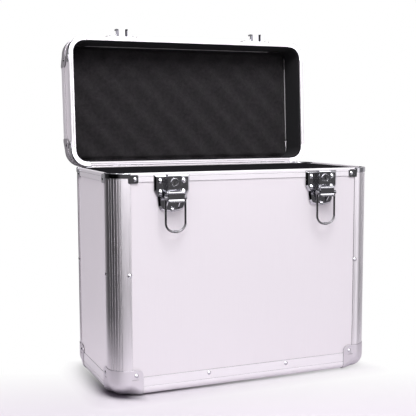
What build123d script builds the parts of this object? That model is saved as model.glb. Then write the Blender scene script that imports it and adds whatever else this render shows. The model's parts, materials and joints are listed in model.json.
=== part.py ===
"""Record carrying case: laminated panels held in aluminium extrusions, metal corners,
two bail latches, a hinged lid and a folding top handle.  Millimetres, +Z up.

Origin: on the floor, in the middle of the four feet.  X runs left to right, the front
with the latches faces -Y.  The case stands with its lid open.

Both halves of the case are built in a shell frame: the rim plane is z = 0 and the closed
end is below it.  The base is lifted to its height.  The lid is mirrored, set on the rim
and turned open about the hinge axis.
"""
from build123d import *
import os
from math import cos, radians, sin

# ---- overall -------------------------------------------------------------------------
WIDTH = 410.0
DEPTH = 202.0
BASE_HEIGHT = 309.0          # bottom edge to the rim plane
LID_HEIGHT = 60.0            # rim plane to the top edge
FOOT_DROP = 2.5              # the bottom edge stands this far above the floor
RIM_GAP = 0.3                # between the two rims when the lid is shut
LID_OPEN = 93.5              # degrees from shut to the hinge stops
FIT = 0.3                    # clearance between pieces that only sit in each other

# ---- extrusions ----------------------------------------------------------------------
CORNER_R = 25.4              # outer radius of the rounded uprights
COLUMN_REACH = 28.5          # flat face of an upright ends here, measured from the side
FLANGE_REACH = 27.0          # its inner flange ends here
SKIN = 1.2                   # wall of every extrusion
PANEL_T = 4.0
WALL_T = 6.4                 # outer face to inner face of the extrusions
INNER_SKIN = WALL_T - SKIN - PANEL_T
SLOT_START = 21.0            # bottom of the panel slot in an upright
HOLLOW_WEB = 1.0             # web between that slot and the hollow of the upright
FLUTES = 5
FLUTE_STEP = 9.8             # degrees between flutes
FLUTE_R = 0.65
FLUTE_DEPTH = 0.5
RIM_WALL = 12.2              # height of the rim extrusion's outer wall
RIM_BODY = 3.6               # solid part of the rim above the panel slot
RIM_GROOVE = 5.3             # line along the rim, below the rim plane
GROOVE_DEPTH = 0.4
RIM_ROUND = 1.5
RIM_SETBACK = 0.24           # the rim's inner face stands back from the lining
LEDGE = 3.4                  # width of the outer ledge of the base rim
LEDGE_STEP = 1.6             # the inner part of the base rim lies this much lower
TONGUE_GAP = 0.4
TONGUE = 1.3                 # how far the lid's tongue stands out of its rim plane
EDGE_WALL = 24.5             # height of the edge extrusion on the sides
EDGE_UNDER = 18.0            # its reach on the closed end
EDGE_R = 8.0
EDGE_GROOVE = 11.5           # line along the edge extrusion, from the closed end
EDGE_END = 40.2              # edge extrusions stop here, inside the corner caps
SLOT_LIFT = 9.0              # bottom of the side panels' slot, above the closed end

# ---- metal corners -------------------------------------------------------------------
CAP_T = 0.8
CAP_ARM = 44.0
CAP_TALL = 36.0
CORNER_UNDER_R = 18.0        # rounding of a corner towards the closed end
CAP_ARM_BEND = 40.0          # it eases into the edge extrusions' rounding here
CAP_CORNER = 8.0
CAP_UNDER_CORNER = 14.0
CAP_SLIT_AT = 22.0
CAP_SLIT_FROM = 28.0
CAP_SLIT = (9.0, 0.7)
PANEL_CLEAR = 2.0            # the panels' cut corners run this far inside the edge extrusions
CAP_RIVET = (34.0, 28.0)     # from the side, and from the closed end
BRACKET_SKIRT = 7.0
TAB_END = 39.5
TAB_TOP = 2.4
TAB_BOTTOM = 14.2
TAB_CORNER = 2.0
TAB_RIVET = (35.0, 8.2)      # from the side, and below the rim plane

# ---- lining --------------------------------------------------------------------------
LINING_T = 1.8
LINING_TOP = LEDGE_STEP + 0.4
LINING_BOTTOM = 8.8          # above the closed end
PAD_INSET = 9.0
PAD_T = 3.0
FOAM_T = 6.0

# ---- rivets --------------------------------------------------------------------------
RIVET_R = 3.0
RIVET_H = 1.2
LATCH_RIVET_R = 3.75
LATCH_RIVET_H = 1.5
COLUMN_RIVET = (26.3, 140.0)  # from the side, and below the rim plane
EDGE_RIVET = (143.0, 20.0)    # from the side, and from the closed end

# ---- feet ----------------------------------------------------------------------------
FOOT_R = 9.0
FOOT_INSET = (55.0, 33.0)    # from the sides, and from the front and back

# ---- hinges --------------------------------------------------------------------------
HINGE_INSET = 90.0           # middle of a hinge from the nearer side
HINGE_W = 50.0
HINGE_OUT = 2.6              # axis behind the back face
HINGE_DOWN = 2.2             # axis below the base's rim plane
KNUCKLES = 5
KNUCKLE_R = 2.3
KNUCKLE_GAP = 0.2
KNUCKLE_ROOT = 1.0           # a knuckle's root runs this far into its leaf
HINGE_PIN_R = 1.2
HINGE_RUN = 0.05             # radial clearance of the lid's knuckles on the pin
LEAF_T = 1.5
LEAF_REACH = 24.0            # lower edge of the base leaf below the rim plane
LEAF_RIVET = (17.0, 19.0)    # from the hinge's middle, and from the rim plane
HEEL_END = 14.0              # the stop heel hangs to here when the lid is open

# ---- latches -------------------------------------------------------------------------
LATCH_INSET = 87.5           # middle of a latch from the nearer side
PLATE_T = 3.4                # the latch plate is a shallow pressed tray
PLATE_BEVEL = 2.6
PLATE_HALF = 25.75
PLATE_TOP = 3.0
PLATE_SHOULDER = 24.5        # the plate's straight sides end here
PLATE_WAIST = ((21.0, 33.0), (19.5, 46.0), (16.5, 51.5))
PLATE_BOTTOM = 54.3
PLATE_RIVETS = ((17.0, 11.0), (16.8, 26.5))   # pairs: across, and below the rim plane
PLATE_FOOT_RIVET = 50.6
CHEEK_IN = 8.2
CHEEK_T = 1.4
CHEEK_FOOT = 47.5            # the cheeks meet the plate here, below the rim plane
CHEEK_KNEE = (12.0, 37.0)    # where their front edge turns back to the plate
CHEEK_TOE = (1.2, 1.5)       # last step of that edge: out from the plate, and up
CHEEK_UNDER_PIVOT = 3.0
HOUSING_TOP = 2.4
HOUSING_FOOT = 22.5
HOUSING_OUT = 13.0           # front face of the housing, out from the case
HOUSING_ROUND = 1.8
HOUSING_WALL = 1.6
HOUSING_RETURN = (2.0, 1.5)  # the cheeks step back under the housing: in, and down
PIVOT = (15.2, -27.3)        # lever pivot: out from the case, and from the rim plane
PIN_R = 1.3
PIN_RUN = 0.06
PIN_HEAD = (2.2, 1.0)
EAR_R = 2.7
LEVER_GAP = 0.3
LEVER_T = 1.4
LEVER_FRONT = 3.0            # pivot to the back of the lever's front plate
LEVER_PLATE = 1.6
LEVER_TOP = 1.8              # the front plate starts this far above the pivot
LEVER_ROLL = 1.2             # radius of the roll along its top
LEVER_EYE_R = 2.8            # the flange round the bail's pins
LEVER_BEND = 8.7             # and bends outward this far below it
LIP_R = 2.4
LIP_END = 0.8
BAIL_AT = (0.3, -6.7)        # bail pivot, measured from the lever pivot
BAIL_R = 1.5
BAIL_RUN = 0.08
BAIL_LEG = 14.25             # middle of the latch to a leg's centre line
BAIL_REACH = 46.4            # bail pivot to the cross bar's centre line
BAIL_BEND = 12.0
BAIL_EYE_R = 3.0
BAIL_SLEEVE = (2.0, 5.0)
BAIL_CATCH_GAP = 0.2
PIN_FIT = 0.1                # a pin's head clears the lever, a pin end clears its hole
LOCK_DOWN = 13.0
LOCK_R = 4.4
LOCK_RUN = 0.05
LOCK_RING = (5.6, 1.0)
LOCK_FLANGE = (5.2, 1.2)
LOCK_FLANGE_GAP = 0.2
LOCK_PROUD = 0.2             # the barrel's face lies inside the ring
KEY_SLOT = (5.4, 1.4, 2.2)
CAM = (7.2, 4.0, 2.0)        # reach, width and thickness of the lock's cam

# ---- catches on the lid --------------------------------------------------------------
CATCH_T = 1.6
CATCH_HALF = 26.0
CATCH_LOW = 3.0
CATCH_HIGH = 33.0
CATCH_CORNER = 4.0
CATCH_RIVETS = ((19.0, 8.5), (19.0, 27.5))
HOOK_HALF = 9.4              # half the width of the arm and the lip
HOOK_FLARE = 4.5             # the arm widens to its foot over this distance
HOOK_OUT = 13.5
HOOK_T = 2.0
HOOK_LIP = 1.8
HOOK_TALL = 6.0
HOOK_ROUND = 2.5

# ---- handle on the lid's top ---------------------------------------------------------
HANDLE_X = 65.0
HANDLE_PIVOT = 9.0           # pivot above the lid's top edge plane
HANDLE_REACH = 28.0          # pivot to the middle of the grip
HANDLE_BAR = 3.0             # half the thickness of the steel bow
HANDLE_BEND = 4.8
HANDLE_SIDE_GAP = 2.0        # between a lug and the bow beside it
HANDLE_END = 1.0             # the bow's ends stand this far past the lugs
GRIP_LONG = 105.0
GRIP_SECTION = (22.0, 15.0)
GRIP_ROUND = 7.0
BOW_FIT = 0.1
HANDLE_PIN_RUN = 0.1
FOOT_PLATE = (30.0, 34.0, 2.0)
FOOT_PLATE_CORNER = 5.0
FOOT_PLATE_RIVET = 5.5       # from both edges of the plate
LUG_T = 6.0
LUG_R = 7.0

# ---- worked out ----------------------------------------------------------------------
RIM_Z = FOOT_DROP + BASE_HEIGHT
FOOT_X = WIDTH / 2 - FOOT_INSET[0]
FOOT_Y = DEPTH / 2 - FOOT_INSET[1]
HINGE_X = WIDTH / 2 - HINGE_INSET
LATCH_X = WIDTH / 2 - LATCH_INSET
HINGE_Y = DEPTH / 2 + HINGE_OUT
HINGE_Z = RIM_Z - HINGE_DOWN
PIVOT_OUT, PIVOT_Z = PIVOT
BAIL_OUT = PIVOT_OUT + BAIL_AT[0]
BAIL_Z = PIVOT_Z + BAIL_AT[1]
CHEEK_OUT = CHEEK_IN + CHEEK_T
LEVER_IN = CHEEK_OUT + LEVER_GAP
LEVER_OUT = LEVER_IN + LEVER_T
SIDES = {"front": (0, 1), "back": (0, -1), "left": (1, 0), "right": (-1, 0)}
CORNERS = {"front_left": (), "front_right": ("x",), "rear_left": ("y",), "rear_right": ("x", "y")}

# The cross bar rests on the catch arm when the bail stands this far past upright.
BAR_PAST_UPRIGHT = 10.0
BAR_HEIGHT = BAIL_Z + BAIL_REACH * cos(radians(BAR_PAST_UPRIGHT))
HOOK_TOP = BAR_HEIGHT - BAIL_SLEEVE[0] - BAIL_CATCH_GAP

OPEN_LID = Pos(0, HINGE_Y, HINGE_Z) * Rot(-LID_OPEN, 0, 0) * Pos(0, -HINGE_Y, -HINGE_Z)
BASE_AT = Pos(0, 0, RIM_Z)
LID_AT = OPEN_LID * Pos(0, 0, RIM_Z + RIM_GAP)


# ---- helpers -------------------------------------------------------------------------
def polygon(*points):
    """A face with straight sides through these points."""
    return make_face(Polyline(*points, close=True))


def box_between(low, high):
    """A box from its lowest corner to its highest."""
    size = [b - a for a, b in zip(low, high)]
    middle = [(a + b) / 2 for a, b in zip(low, high)]
    return Pos(*middle) * Box(*size)


def section_plane(side):
    """Across one side: local x runs inward from the outer face, local y up."""
    inward = Vector(*SIDES[side], 0)
    middle = Vector(-inward.X * WIDTH / 2, -inward.Y * DEPTH / 2, 0)
    return Plane(origin=middle, x_dir=inward, z_dir=inward.cross(Vector(0, 0, 1)))


def face_plane(side, inset=0.0):
    """On one side: local x runs along it, local y up, the normal points outward."""
    inward = Vector(*SIDES[side], 0)
    middle = Vector(-inward.X * (WIDTH / 2 - inset), -inward.Y * (DEPTH / 2 - inset), 0)
    return Plane(origin=middle, x_dir=Vector(0, 0, 1).cross(-inward), z_dir=-inward)


def side_length(side):
    return WIDTH if side in ("front", "back") else DEPTH


def along(side, section, margin):
    """Extrude a section along one side, leaving the margin free at both ends."""
    return extrude(section_plane(side) * section, side_length(side) / 2 - margin, both=True)


def at_corner(piece, corner):
    """Carry a piece drawn from the front left corner to any of the four."""
    placed = Pos(-WIDTH / 2, -DEPTH / 2, 0) * piece
    for letter in CORNERS[corner]:
        placed = mirror(placed, about=Plane.YZ if letter == "x" else Plane.XZ)
    return placed


def lid_place(piece):
    """From the shell frame onto the open lid."""
    return LID_AT * mirror(piece, about=Plane.XY)


def base_place(piece):
    return BASE_AT * piece


def group(pieces):
    """Separate solids that share one node."""
    return Compound([solid for piece in pieces for solid in piece.solids()])


def dome(radius, height):
    """A low rivet head standing on z = 0."""
    sphere_r = (radius ** 2 + height ** 2) / (2 * height)
    ball = Pos(0, 0, height - sphere_r) * Sphere(sphere_r)
    return ball & (Pos(0, 0, height / 2) * Cylinder(radius, height))


HEAD = dome(RIVET_R, RIVET_H)
LATCH_HEAD = dome(LATCH_RIVET_R, LATCH_RIVET_H)


def on_face(side, across, up, proud=0.0, head=HEAD):
    """A rivet head on one side, in the shell frame."""
    return face_plane(side, -proud) * (Pos(across, up, 0) * head)


# ---- shell pieces --------------------------------------------------------------------
def side_panel(side, height):
    """Wall panel: straight edges in the slots, lower corners cut clear of the caps."""
    half = side_length(side) / 2 - SLOT_START - FIT
    top = -RIM_BODY - FIT
    bottom = -height + SLOT_LIFT + FIT
    cut = EDGE_END - SLOT_START - FIT - PANEL_CLEAR
    outline = polygon((-half, top), (half, top), (half, bottom + cut), (half - cut, bottom),
                      (cut - half, bottom), (-half, bottom + cut))
    return extrude(face_plane(side, SKIN) * outline, -PANEL_T)


def end_panel(height):
    """Bottom of the base or top of the lid."""
    half_x = WIDTH / 2 - SLOT_LIFT - FIT
    half_y = DEPTH / 2 - SLOT_LIFT - FIT
    cut = EDGE_END - SLOT_LIFT - FIT - PANEL_CLEAR
    blank = box_between((-half_x, -half_y, SKIN - height), (half_x, half_y, SKIN + PANEL_T - height))
    return chamfer(blank.edges().filter_by(Axis.Z), cut)


def corner_region(depth, reach):
    """Plan of everything inside the rounded corner at this depth, out to the reach."""
    radius = CORNER_R - depth
    outline = [
        CenterArc((CORNER_R, CORNER_R), radius, 180, 90),
        Line((CORNER_R, depth), (reach, depth)),
        Line((reach, depth), (reach, reach)),
        Line((reach, reach), (depth, reach)),
        Line((depth, reach), (depth, CORNER_R)),
    ]
    return make_face(outline)


def corner_strip(depth_out, depth_in, reach):
    return corner_region(depth_out, reach) - corner_region(depth_in, reach)


def column(height):
    """Upright corner extrusion with two panel slots, a hollow and fine flutes."""
    section = corner_strip(0, WALL_T, FLANGE_REACH) + corner_strip(0, SKIN, COLUMN_REACH)
    slot = Pos((SLOT_START + COLUMN_REACH) / 2, SKIN + PANEL_T / 2) * Rectangle(
        COLUMN_REACH - SLOT_START, PANEL_T)
    section -= slot
    section -= mirror(slot, about=Plane(origin=(0, 0, 0), z_dir=(1, -1, 0)))
    hollow_in = CORNER_R - WALL_T + INNER_SKIN
    ring = Pos(CORNER_R, CORNER_R) * (Circle(CORNER_R - SKIN) - Circle(hollow_in))
    side = SLOT_START - HOLLOW_WEB
    section -= ring & (Pos(side / 2, side / 2) * Rectangle(side, side))
    flute_at = CORNER_R + FLUTE_R - FLUTE_DEPTH
    for index in range(FLUTES):
        angle = radians(225 + (index - (FLUTES - 1) / 2) * FLUTE_STEP)
        section -= Pos(CORNER_R + flute_at * cos(angle), CORNER_R + flute_at * sin(angle)) * Circle(FLUTE_R)
    bottom = -height + CORNER_UNDER_R + FIT
    return Pos(0, 0, bottom) * extrude(section, -RIM_BODY - FIT - bottom)


def rim_section(is_lid):
    """Rim extrusion: outer wall with a fine groove, ledge and step, or ledge and tongue."""
    inner = WALL_T - RIM_SETBACK
    if is_lid:
        top = [(LEDGE + TONGUE_GAP, 0), (LEDGE + TONGUE_GAP, TONGUE), (inner, TONGUE)]
    else:
        top = [(LEDGE, 0), (LEDGE, -LEDGE_STEP), (inner, -LEDGE_STEP)]
    points = [(RIM_ROUND, 0)] + top + [
        (inner, -RIM_WALL), (SKIN + PANEL_T, -RIM_WALL), (SKIN + PANEL_T, -RIM_BODY),
        (SKIN, -RIM_BODY), (SKIN, -RIM_WALL), (0, -RIM_WALL),
        (0, -RIM_GROOVE - GROOVE_DEPTH), (GROOVE_DEPTH, -RIM_GROOVE),
        (0, -RIM_GROOVE + GROOVE_DEPTH), (0, -RIM_ROUND)]
    arc = CenterArc((RIM_ROUND, -RIM_ROUND), RIM_ROUND, 90, 90)
    return make_face([Polyline(*points), arc])


def edge_section(height):
    """Edge extrusion round the closed end, with slots for a wall panel and the end panel."""
    slot_end = SKIN + PANEL_T
    points = [
        (EDGE_R, 0), (EDGE_UNDER, 0), (EDGE_UNDER, SKIN), (SLOT_LIFT, SKIN), (SLOT_LIFT, slot_end),
        (EDGE_UNDER, slot_end), (EDGE_UNDER, WALL_T), (WALL_T, WALL_T), (WALL_T, EDGE_UNDER),
        (slot_end, EDGE_UNDER), (slot_end, SLOT_LIFT), (SKIN, SLOT_LIFT), (SKIN, EDGE_WALL),
        (0, EDGE_WALL), (0, EDGE_GROOVE + GROOVE_DEPTH), (GROOVE_DEPTH, EDGE_GROOVE),
        (0, EDGE_GROOVE - GROOVE_DEPTH), (0, EDGE_R)]
    arc = CenterArc((EDGE_R, EDGE_R), EDGE_R, 180, 90)
    return Pos(0, -height) * make_face([Polyline(*points), arc])


def rounded_corner_solid(offset, reach):
    """Block with the case's corner shape, its faces standing out by the offset."""
    def arm_section(radius_centre):
        radius = radius_centre + offset
        outline = [
            CenterArc((radius_centre, radius_centre), radius, 180, 90),
            Line((radius_centre, -offset), (reach, -offset)),
            Line((reach, -offset), (reach, reach)),
            Line((reach, reach), (-offset, reach)),
            Line((-offset, reach), (-offset, radius_centre)),
        ]
        return make_face(outline)

    def across(x):
        return Plane(origin=(x, 0, 0), x_dir=(0, 1, 0), z_dir=(1, 0, 0))

    start = across(CORNER_R) * arm_section(CORNER_UNDER_R)
    arm = loft([start, across(CAP_ARM_BEND) * arm_section(EDGE_R)], ruled=True)
    arm += extrude(across(CAP_ARM_BEND) * arm_section(EDGE_R), reach - CAP_ARM_BEND)
    other_arm = mirror(arm, about=Plane(origin=(0, 0, 0), z_dir=(1, -1, 0)))
    outer = CORNER_R + offset
    under = CORNER_R - CORNER_UNDER_R
    profile = Polyline((under, -offset), (0, -offset), (0, reach), (outer, reach), (outer, CORNER_UNDER_R))
    rounding = CenterArc((under, CORNER_UNDER_R), CORNER_UNDER_R + offset, -90, 90)
    post = Plane(origin=(CORNER_R, CORNER_R, 0), x_dir=(-1, 0, 0), z_dir=(0, 1, 0)) * make_face(
        [profile, rounding])
    corner = revolve(post, Axis((CORNER_R, CORNER_R, 0), (0, 0, 1)), 90)
    return arm + other_arm + corner


def corner_cap(height):
    """Pressed metal ball corner: a thin shell over three faces, drawn at the front left."""
    pressing = rounded_corner_solid(CAP_T, CAP_ARM) - rounded_corner_solid(0, 2 * CAP_ARM)
    pressing &= box_between((-CAP_T,) * 3, (CAP_ARM, CAP_ARM, CAP_TALL))
    blunt = Pos(CAP_ARM, CAP_TALL) * Rectangle(2 * CAP_CORNER, 2 * CAP_CORNER)
    blunt -= Pos(CAP_ARM - CAP_CORNER, CAP_TALL - CAP_CORNER) * Circle(CAP_CORNER)
    front_blunt = extrude(Plane.XZ * blunt, CAP_ARM, both=True)
    pressing -= front_blunt
    pressing -= mirror(front_blunt, about=Plane(origin=(0, 0, 0), z_dir=(1, -1, 0)))
    under = CAP_ARM - CAP_UNDER_CORNER
    pressing -= chamfer_block(under, height=CAP_T)
    slit = box_between((CAP_SLIT_FROM, -CAP_T, CAP_SLIT_AT),
                       (CAP_SLIT_FROM + CAP_SLIT[0], 0, CAP_SLIT_AT + CAP_SLIT[1]))
    pressing -= slit
    pressing -= mirror(slit, about=Plane(origin=(0, 0, 0), z_dir=(1, -1, 0)))
    return Pos(0, 0, -height) * pressing


def chamfer_block(start, height):
    """Cuts the plate under the case down to an L with a slanted inner corner."""
    outline = polygon((CAP_ARM, start), (start, CAP_ARM), (CAP_ARM, CAP_ARM))
    return Pos(0, 0, -height) * extrude(outline, height)


def rim_bracket(is_lid):
    """Die-cast corner of the rim: rounded body with a skirt, and a riveted tab each way."""
    step = 0 if is_lid else LEDGE_STEP
    points = [(-CAP_T, -BRACKET_SKIRT), (-CAP_T, -CAP_T), (0, 0)]
    points += [(WALL_T, 0)] if is_lid else [(LEDGE, 0), (LEDGE, -step), (WALL_T, -step)]
    points += [(WALL_T, -RIM_BODY), (0, -RIM_BODY), (0, -BRACKET_SKIRT)]
    section = Plane(origin=(CORNER_R, 0, 0), x_dir=(0, 1, 0), z_dir=(1, 0, 0)) * polygon(*points)
    axis = Axis((CORNER_R, CORNER_R, 0), (0, 0, -1))
    bend = revolve(section, axis, 90)
    arm = extrude(section, COLUMN_REACH - CORNER_R)
    tab = Pos((CORNER_R + TAB_END) / 2, -(TAB_TOP + TAB_BOTTOM) / 2) * RectangleRounded(
        TAB_END - CORNER_R, TAB_BOTTOM - TAB_TOP, TAB_CORNER)
    arm += extrude(Plane.XZ * tab, CAP_T)
    other_arm = mirror(arm, about=Plane(origin=(0, 0, 0), z_dir=(1, -1, 0)))
    return bend + arm + other_arm


def lining(height, top):
    """Thin cloth covered board that lines the walls."""
    def ring(depth):
        return RectangleRounded(WIDTH - 2 * depth, DEPTH - 2 * depth, CORNER_R - depth)

    bottom = -height + LINING_BOTTOM
    return Pos(0, 0, bottom) * extrude(ring(WALL_T) - ring(WALL_T + LINING_T), -top - bottom)


def pad(height, thickness):
    """Soft sheet on the inside of the closed end."""
    radius = CORNER_R - PAD_INSET
    sheet = RectangleRounded(WIDTH - 2 * PAD_INSET, DEPTH - 2 * PAD_INSET, radius)
    return Pos(0, 0, WALL_T - height) * extrude(sheet, thickness)


def frame_rivets(height, column_rivets):
    """Rivet heads on brackets, caps, uprights and edge extrusions, in the shell frame."""
    heads = []
    for side in SIDES:
        half = side_length(side) / 2
        for sign in (-1, 1):
            heads.append(on_face(side, sign * (half - TAB_RIVET[0]), -TAB_RIVET[1], CAP_T))
            heads.append(on_face(side, sign * (half - CAP_RIVET[0]), CAP_RIVET[1] - height, CAP_T))
            if column_rivets:
                heads.append(on_face(side, sign * (half - COLUMN_RIVET[0]), -COLUMN_RIVET[1]))
            if side in ("front", "back"):
                heads.append(on_face(side, sign * (half - EDGE_RIVET[0]), EDGE_RIVET[1] - height))
    return heads


# ---- hinges --------------------------------------------------------------------------
def knuckle_spans(which):
    """Start and end of every second knuckle, from the hinge's middle."""
    pitch = HINGE_W / KNUCKLES
    for index in range(which, KNUCKLES, 2):
        start = -HINGE_W / 2 + index * pitch
        yield start + KNUCKLE_GAP / 2, start + pitch - KNUCKLE_GAP / 2


def tube_x(radius, start, end):
    """A round bar along X on the hinge axis, in the part's frame."""
    bar = Rot(0, 90, 0) * Cylinder(radius, end - start)
    return Pos((start + end) / 2, HINGE_Y, HINGE_Z) * bar


def hinge_leaf_base():
    """Leaf on the back of the base, with the outer knuckles rolled up."""
    back = DEPTH / 2
    clear = HINGE_Z - KNUCKLE_R - 2 * KNUCKLE_GAP
    leaf = box_between((-HINGE_W / 2, back, RIM_Z - LEAF_REACH), (HINGE_W / 2, back + LEAF_T, clear))
    for start, end in knuckle_spans(0):
        leaf += box_between((start, back, clear - KNUCKLE_ROOT), (end, back + LEAF_T, HINGE_Z))
        leaf += tube_x(KNUCKLE_R, start, end)
    return leaf - tube_x(HINGE_PIN_R, -HINGE_W, HINGE_W)


def hinge_leaf_lid():
    """Leaf on the back of the lid, and the heel that stops it against the base leaf."""
    back = DEPTH / 2
    clear = HINGE_Z + KNUCKLE_R + 2 * KNUCKLE_GAP
    leaf = box_between((-HINGE_W / 2, back, clear),
                       (HINGE_W / 2, back + LEAF_T, RIM_Z + RIM_GAP + LEAF_REACH))
    heel_in = back + LEAF_T + FIT
    heel_top = HINGE_Z - KNUCKLE_R - FIT
    heel = box_between((-HINGE_W / 2, heel_in, RIM_Z - HEEL_END), (HINGE_W / 2, heel_in + LEAF_T, heel_top))
    for start, end in knuckle_spans(1):
        leaf += box_between((start, back, HINGE_Z), (end, back + LEAF_T, clear + KNUCKLE_ROOT))
        heel += box_between((start, heel_in, heel_top - KNUCKLE_ROOT), (end, heel_in + LEAF_T, HINGE_Z))
        heel += tube_x(KNUCKLE_R, start, end)
    return OPEN_LID * leaf + heel - tube_x(HINGE_PIN_R + HINGE_RUN, -HINGE_W, HINGE_W)


def leaf_rivets(sign):
    """Heads on one leaf, in the shell frame: below the rim plane for sign -1."""
    places = [(hinge_x + offset, sign * LEAF_RIVET[1])
              for hinge_x in (-HINGE_X, HINGE_X) for offset in (-LEAF_RIVET[0], 0, LEAF_RIVET[0])]
    return [on_face("back", across, up, LEAF_T) for across, up in places]


# ---- latches -------------------------------------------------------------------------
FRONT = face_plane("front")
OUTWARD = Plane(origin=(0, -DEPTH / 2, 0), x_dir=(0, -1, 0), z_dir=(-1, 0, 0))


def across_latch(profile, half_width):
    """Extrude a profile of (out, up) to both sides of a latch's middle."""
    return extrude(OUTWARD * profile, half_width, both=True)


def out_box(out, up, half_width):
    """A box across the latch between two outward and two upward values."""
    return box_between((-half_width, -DEPTH / 2 - out[1], up[0]), (half_width, -DEPTH / 2 - out[0], up[1]))


def bar_across(radius, half_length, out, up):
    return Pos(0, -DEPTH / 2 - out, up) * (Rot(0, 90, 0) * Cylinder(radius, 2 * half_length))


def plate_outline():
    right = [(PLATE_HALF, -PLATE_TOP), (PLATE_HALF, -PLATE_SHOULDER)]
    right += [(x, -z) for x, z in PLATE_WAIST]
    left = [(-x, z) for x, z in reversed(right)]
    bow = ThreePointArc(right[-1], (0, -PLATE_BOTTOM), left[0])
    return make_face([Polyline(*right), bow, Polyline(*left), Line(left[-1], right[0])])


def latch_body():
    """Latch plate with its raised housing, the two cheeks for the lever and the lock's seat."""
    ear = EAR_R * cos(radians(45))
    profile = [
        (PLATE_T, -HOUSING_TOP), (HOUSING_OUT - HOUSING_ROUND, -HOUSING_TOP),
        (HOUSING_OUT, -HOUSING_TOP - HOUSING_ROUND), (HOUSING_OUT, -HOUSING_FOOT),
        (HOUSING_OUT - HOUSING_RETURN[0], -HOUSING_FOOT),
        (HOUSING_OUT - HOUSING_RETURN[0], -HOUSING_FOOT - HOUSING_RETURN[1]),
        (PIVOT_OUT - ear, PIVOT_Z + ear), (PIVOT_OUT, PIVOT_Z), (PIVOT_OUT + EAR_R, PIVOT_Z),
        (PIVOT_OUT + EAR_R, PIVOT_Z - CHEEK_UNDER_PIVOT), (CHEEK_KNEE[0], -CHEEK_KNEE[1]),
        (PLATE_T + CHEEK_TOE[0], -CHEEK_FOOT + CHEEK_TOE[1]), (PLATE_T, -CHEEK_FOOT)]
    cheek = polygon(*profile) + Pos(*PIVOT) * Circle(EAR_R)
    cheek += Pos(HOUSING_OUT - HOUSING_ROUND, -HOUSING_TOP - HOUSING_ROUND) * Circle(HOUSING_ROUND)
    body = across_latch(cheek, CHEEK_OUT)
    wall_in = HOUSING_OUT - HOUSING_WALL
    body -= out_box((PLATE_T, wall_in), (-PLATE_BOTTOM, -HOUSING_TOP - HOUSING_WALL), CHEEK_IN)
    body -= out_box((wall_in, PIVOT_OUT + 2 * EAR_R), (-PLATE_BOTTOM, -HOUSING_FOOT), CHEEK_IN)
    plate = extrude(FRONT * plate_outline(), PLATE_T)
    body += chamfer(plate.edges().group_by(Axis.Y)[0], PLATE_BEVEL)
    body += lock_at(Cylinder(LOCK_RING[0], LOCK_RING[1] + HOUSING_WALL), wall_in)
    body -= lock_at(Cylinder(LOCK_R + LOCK_RUN, HOUSING_OUT), wall_in - HOUSING_WALL)
    body -= bar_across(PIN_R, 2 * CHEEK_OUT, *PIVOT)
    return body


def lock_at(solid, out):
    """Stand a solid drawn about z on the lock's axis, its inner end this far out."""
    length = solid.bounding_box().size.Z
    return FRONT * (Pos(0, -LOCK_DOWN, out + length / 2) * solid)


def lock_barrel():
    """Key barrel held by a flange behind the housing wall, with a cam inside."""
    wall_in = HOUSING_OUT - HOUSING_WALL
    front = HOUSING_OUT + LOCK_PROUD
    flange_r, flange_t = LOCK_FLANGE
    flange_in = wall_in - LOCK_FLANGE_GAP - flange_t
    barrel = lock_at(Cylinder(LOCK_R, front - flange_in), flange_in)
    barrel += lock_at(Cylinder(flange_r, flange_t), flange_in)
    cam_in = flange_in - CAM[2]
    cam = Pos(0, -CAM[0] / 2, 0) * Box(CAM[1], CAM[0], CAM[2])
    barrel += lock_at(cam, cam_in)
    barrel -= lock_at(Box(KEY_SLOT[1], KEY_SLOT[0], KEY_SLOT[2]), front - KEY_SLOT[2])
    return barrel


def lever():
    """Pressed lever: two flanges and a front plate, rolled along its top, curled out below."""
    back = PIVOT_OUT + LEVER_FRONT
    face = back + LEVER_PLATE
    top = PIVOT_Z + LEVER_TOP - LEVER_ROLL
    bend = PIVOT_Z - LEVER_BEND
    curl = face + LIP_R
    lip_low = bend - LIP_R - LEVER_PLATE
    outline = [
        Line((back, top), (back, bend)),
        CenterArc((curl, bend), LIP_R + LEVER_PLATE, 180, 90),
        Line((curl, lip_low), (curl + LIP_END, lip_low)),
        Line((curl + LIP_END, lip_low), (curl + LIP_END, bend - LIP_R)),
        Line((curl + LIP_END, bend - LIP_R), (curl, bend - LIP_R)),
        CenterArc((curl, bend), LIP_R, 180, 90),
        Line((face, bend), (face, top)),
        Line((face, top), (back, top)),
    ]
    section = make_face(outline) + Pos(back + LEVER_ROLL, top) * Circle(LEVER_ROLL)
    plate = across_latch(section, LEVER_OUT)
    hull = make_hull(
        (Pos(*PIVOT) * Circle(EAR_R)).edges() + (Pos(BAIL_OUT, BAIL_Z) * Circle(LEVER_EYE_R)).edges()
        + polygon((back, top), (face - FIT, top), (face - FIT, bend), (back, bend)).edges())
    flanges = across_latch(hull, LEVER_OUT)
    flanges -= out_box((0, back), (BAIL_Z - 3 * BAIL_EYE_R, PIVOT_Z + 3 * EAR_R), LEVER_IN)
    body = plate + flanges
    body -= bar_across(PIN_R + PIN_RUN, 2 * LEVER_OUT, *PIVOT)
    body -= bar_across(BAIL_R + BAIL_RUN, 2 * LEVER_OUT, BAIL_OUT, BAIL_Z)
    return body


def pivot_pin():
    """Riveted pin through both cheeks and both flanges."""
    shank_end = LEVER_OUT + PIN_FIT
    pin = bar_across(PIN_R, shank_end, *PIVOT)
    head = Rot(0, 90, 0) * Cylinder(PIN_HEAD[0], PIN_HEAD[1])
    for sign in (-1, 1):
        across = sign * (shank_end + PIN_HEAD[1] / 2)
        pin += Pos(across, -DEPTH / 2 - PIVOT_OUT, PIVOT_Z) * head
    return pin


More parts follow.
